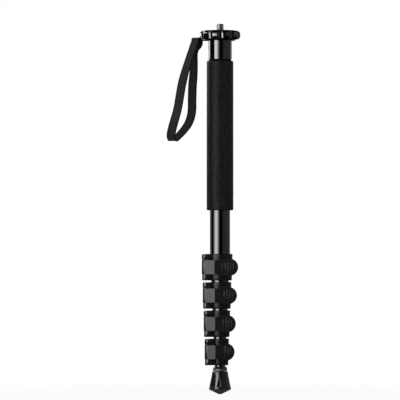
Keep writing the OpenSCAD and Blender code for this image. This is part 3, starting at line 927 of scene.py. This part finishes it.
def roundEdges(node, radius):
    weld = node.modifiers.new("weld", "WELD")
    weld.merge_threshold = edgeForm["weld"]
    bevel = node.modifiers.new("edges", "BEVEL")
    bevel.width = radius
    bevel.segments = edgeForm["segments"]
    bevel.limit_method = "ANGLE"
    bevel.angle_limit = math.radians(edgeForm["sharp"])
    bevel.use_clamp_overlap = True
    bevel.harden_normals = True


def dressNodes():
    for look, members in finishes.items():
        for name, radius in members.items():
            node = nodes[name]
            node.data.materials.clear()
            node.data.materials.append(looks[look])
            if radius:
                roundEdges(node, radius)


def polishEars():  # the ears' round ends come glossier from the mould than the bands
    reach = hingeForm["ear"] + hingeForm["earMargin"]
    for k in locks:
        data, at = nodes[f"collar_{k}"].data, hingePlace(k)
        data.materials.append(looks["ear"])
        for face in data.polygons:
            if math.hypot(face.center.x - at.x, face.center.y - at.y) < reach:
                face.material_index = 1


hollowForm = {
    "top": (-0.4324, 0.01062),  # heights and radii of the foot's flank
    "low": (-0.4461, 0.01334),
    "below": 0.0004,  # how far the hollows reach past the flank's low end
    "depth": 0.00035,  # faces this far in are in a hollow
    "bore": 0.006,  # faces nearer to the axis are the foot's bore
    "lean": 0.12,  # walls that lean further to the right are left walls, and stay glossy and dark; the others get the painted light
}


def lightenHollows():  # the hollows' floors and right walls get a rougher, paler rubber: the rougher finish is the mould's matt skin, the paler colour is painted light on the faces turned to the light
    (top, thin), (low, wide) = hollowForm["top"], hollowForm["low"]
    bore, depth, lowest = hollowForm["bore"], hollowForm["depth"], low - hollowForm["below"]
    data = nodes["rubber_foot"].data
    data.materials.append(looks["hollow"])
    for face in data.polygons:
        x, y, z = face.center
        flank = wide + (thin - wide) * (z - low) / (top - low)
        reach = math.hypot(x, y)
        inside = lowest < z < top and bore < reach < flank - depth
        lean = (face.normal.y * x - face.normal.x * y) / max(reach, bore)  # to the right, from outside
        if inside and lean < hollowForm["lean"]:
            face.material_index = 1


dressNodes()
polishEars()
lightenHollows()
print("solids dressed")

studio = {
    "floorGap": 0.0003,  # under the foot
    "floorHalf": 9.0,
    "floorColour": 0.85,
    "floorClear": [(0.48, 0.92), (0.80, 1.0)],  # distance from the origin, share that is see-through
    "sky": 0.22,
    "radius": 1.35,  # from the pole to the lamps
    "lamps": (  # azimuths from the camera to the right, heights, brightness
        ("keyHigh", -56, -30, -0.10, 0.20, 6.4),  # the streak on wheel, neck and upper grip
        ("keyHighSide", -30, -16, -0.10, 0.20, 3.0),
        ("keyHighEdge", -16, -6, -0.10, 0.20, 0.5),
        ("keyLow", -67, -32, -1.75, -0.10, 5.2),  # the streak below them
        ("keyLowFar", -84, -67, -1.75, -0.10, 0.5),
        ("keyLowSide", -32, -18, -1.75, -0.10, 2.4),
        ("keyLowEdge", -18, -8, -1.75, -0.10, 0.4),
        ("fillEdge", 24, 36, -1.75, 0.35, 0.08),  # the faint light down the right
        ("fillFront", 36, 82, -1.75, 0.35, 0.21),
        ("fillSide", 82, 124, -1.75, 0.35, 0.21),
        ("fillRear", 124, 158, -0.10, 0.35, 0.5),
        ("fillRearLow", 124, 158, -1.75, -0.10, 0.22),
        ("rimBox", -160, -118, 0.0, 0.20, 3.8),  # the left rim of wheel, neck and foot
        ("lobeRear", -150, -112, 0.30, 1.0, 4.4),  # the wheel's round lobes
        ("lobeSide", -112, -78, 0.26, 1.0, 3.0),
        ("lobeRight", 40, 80, 0.36, 1.0, 0.5),
        ("lobeFar", 80, 124, 0.36, 1.0, 0.5),
        ("softBox", -42, 38, -1.75, 0.60, 1.5),  # the plain light on all that is matt
    ),
    "top": (1.6, 1.05, 1.3),  # side, height, brightness
}
floorZ = cadLow.z - studio["floorGap"]


def linkLamp(name, data, place, facing):
    lamp = bpy.data.objects.new(name, data)
    lamp.location = place
    lamp.rotation_mode = "QUATERNION"
    lamp.rotation_quaternion = facing.to_track_quat("-Z", "Y")
    lamp.visible_camera = False
    scene.collection.objects.link(lamp)
    return lamp


def lampBox(name, width, height, shine):
    data = bpy.data.lights.new(name, "AREA")
    data.shape = "RECTANGLE"
    data.size, data.size_y = width, height
    data.energy = shine * math.pi * width * height
    return data


def setLamps():
    for name, start, end, low, high, shine in studio["lamps"]:
        middle = math.radians((start + end) / 2)
        width = 2 * studio["radius"] * math.tan(math.radians((end - start) / 2))
        away = Vector((math.sin(middle), -math.cos(middle), 0))
        place = away * studio["radius"] + Vector((0, 0, (low + high) / 2))
        lamp = linkLamp(name, lampBox(name, width, high - low, shine), place, -away)
        lamp.visible_diffuse = name == "softBox"  # the others are streaks in the gloss
        lamp.visible_glossy = name != "softBox"
    side, height, shine = studio["top"]
    down = Vector((0, 0, -1))
    top = linkLamp("topBox", lampBox("topBox", side, side, shine), -down * height, down)
    top.visible_glossy = False


cardForm = {
    "radius": 1.5795,  # behind the lamps
    "steps": 24,
    "sides": 32,
    "low": -2.0,
    "top": 1.1,
    "black": 0.004,
    "walls": (  # azimuths of the black walls
        ("cardLeft", -112, -50),
        ("cardFront", -18, 34),
        ("cardRight", 30, 136),
        ("cardBack", 134, 202),
    ),
    "rear": (-160, -110),  # a pale wall, behind on the left
    "rearTop": 0.0,
    "rearGrey": 0.60,
    "lift": 0.0001,  # between the floor and the discs on it
    "foot": 0.045,  # radius of a pale disc under the foot
    "footGrey": 0.90,
}


def makeCard(name, points, faces, grey):  # seen in the gloss only, like a studio flag out of the picture
    data = bpy.data.meshes.new(name)
    data.from_pydata(points, [], faces)
    matt = {"Base Color": (grey, grey, grey, 1), "Roughness": 1.0, "Specular IOR Level": 0.0}
    data.materials.append(newLook(name, matt)[0])
    card = bpy.data.objects.new(name, data)
    card.visible_camera = False
    card.visible_shadow = False
    card.visible_diffuse = False
    scene.collection.objects.link(card)


def makeWall(name, start, end, top, grey):
    far, steps = cardForm["radius"], cardForm["steps"]
    row = steps + 1
    turns = [math.radians(start + (end - start) * k / steps) for k in range(row)]
    points = [(far * math.sin(a), -far * math.cos(a), z) for z in (cardForm["low"], top) for a in turns]
    makeCard(name, points, [(k, k + 1, k + 1 + row, k + row) for k in range(steps)], grey)


def makeDisc(name, height, radius, grey):
    sides = cardForm["sides"]
    makeCard(name, ringPoints(radius, height, sides), [tuple(range(sides))], grey)


def setCards():
    top, black, lift = cardForm["top"], cardForm["black"], cardForm["lift"]
    for name, start, end in cardForm["walls"]:
        makeWall(name, start, end, top, black)
    makeWall("cardRear", *cardForm["rear"], cardForm["rearTop"], cardForm["rearGrey"])
    makeDisc("cardLow", floorZ + lift, cardForm["radius"], black)
    makeDisc("cardHigh", top, cardForm["radius"], black)
    makeDisc("cardFoot", floorZ + 2 * lift, cardForm["foot"], cardForm["footGrey"])


def seenRays(start):  # 1 for rays that find the white background: from the lens, off gloss, through glass
    lens = start.add("ShaderNodeLightPath", out="Is Camera Ray")
    seen = lens + lens.beside("Is Glossy Ray") + lens.beside("Is Transmission Ray")
    return start.maths("MINIMUM", seen, 1.0)


def makeFloor():
    data = bpy.data.meshes.new("floor")
    half = studio["floorHalf"]
    corners = [(-half, -half), (half, -half), (half, half), (-half, half)]
    data.from_pydata([(x, y, floorZ) for x, y in corners], [], [(0, 1, 2, 3)])
    look = bpy.data.materials.new("paleFloor")
    look.use_nodes = True
    tree = look.node_tree
    start = Wire(tree)
    away = lengthOf(start, objectPlace(start))
    share = ramp(start, away, studio["floorClear"])  # floor and shadow are faint at the foot, and fade out
    clear = start.add("ShaderNodeBsdfTransparent", None, {"Color": (1, 1, 1, 1)})  # a drawn-out leg shows
    grey = studio["floorColour"]
    matt = start.add("ShaderNodeBsdfDiffuse", None, {"Color": (grey, grey, grey, 1)})
    both = start.add("ShaderNodeMixShader", None, {0: seenRays(start) * share, 1: matt, 2: clear})
    tree.links.new(both.socket, tree.nodes["Material Output"].inputs["Surface"])
    data.materials.append(look)
    floor = bpy.data.objects.new("floor", data)
    scene.collection.objects.link(floor)


def makeWorld():
    world = bpy.data.worlds.new("studio")
    world.use_nodes = True
    scene.world = world
    tree = world.node_tree
    start = Wire(tree)
    white = start.add("ShaderNodeBackground", None, {"Color": (1, 1, 1, 1), "Strength": 1.0})
    soft = start.add("ShaderNodeBackground", None, {"Color": (1, 1, 1, 1), "Strength": studio["sky"]})
    both = start.add("ShaderNodeMixShader", None, {0: seenRays(start), 1: soft, 2: white})
    tree.links.new(both.socket, tree.nodes["World Output"].inputs["Surface"])


setLamps()
setCards()
makeFloor()
makeWorld()
print("studio set")
